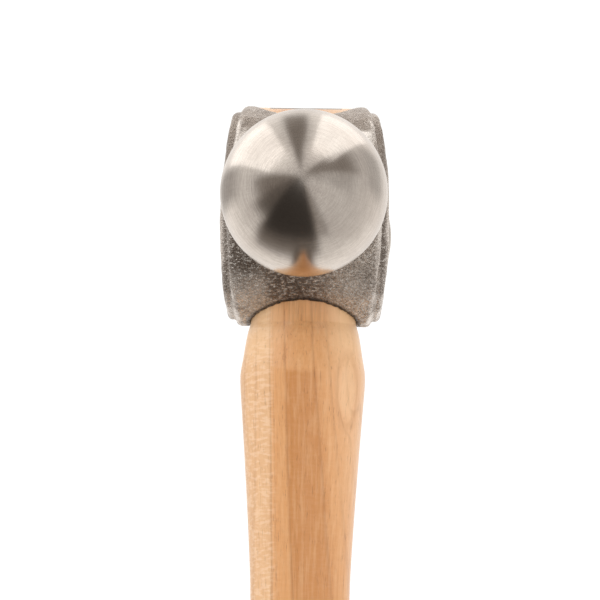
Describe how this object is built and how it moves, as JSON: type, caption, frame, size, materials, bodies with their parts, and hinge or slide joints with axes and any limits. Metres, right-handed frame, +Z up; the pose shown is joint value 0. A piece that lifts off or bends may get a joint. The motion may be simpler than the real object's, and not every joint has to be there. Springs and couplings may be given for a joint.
{
  "type": "ball peen hammer",
  "caption": "Forged ball peen hammer head with a polished ball, raised cheek pads and a round striking face, wedged on an oval hickory handle with a shoulder, waist and grip.",
  "frame": {"origin": "middle of the flat butt end of the handle, on the handle's axis", "axes": "+Z up along the handle to the head, +Y towards the striking face (the ball points to -Y), +X across the head"},
  "size_m": [0.0382, 0.127, 0.4075],
  "materials": {
    "head_steel": "shot-blasted forging with a turned and polished ball and face",
    "hickory": "clear lacquered straight-grained hickory",
    "wedge_wood": "raw hardwood end grain",
    "wedge_steel": "plain rolled steel"
  },
  "bodies": {
    "root": {"head": "head_steel", "handle": "hickory", "wood_wedge": "wedge_wood", "steel_wedge_front": "wedge_steel", "steel_wedge_back": "wedge_steel"}
  },
  "joints": []
}
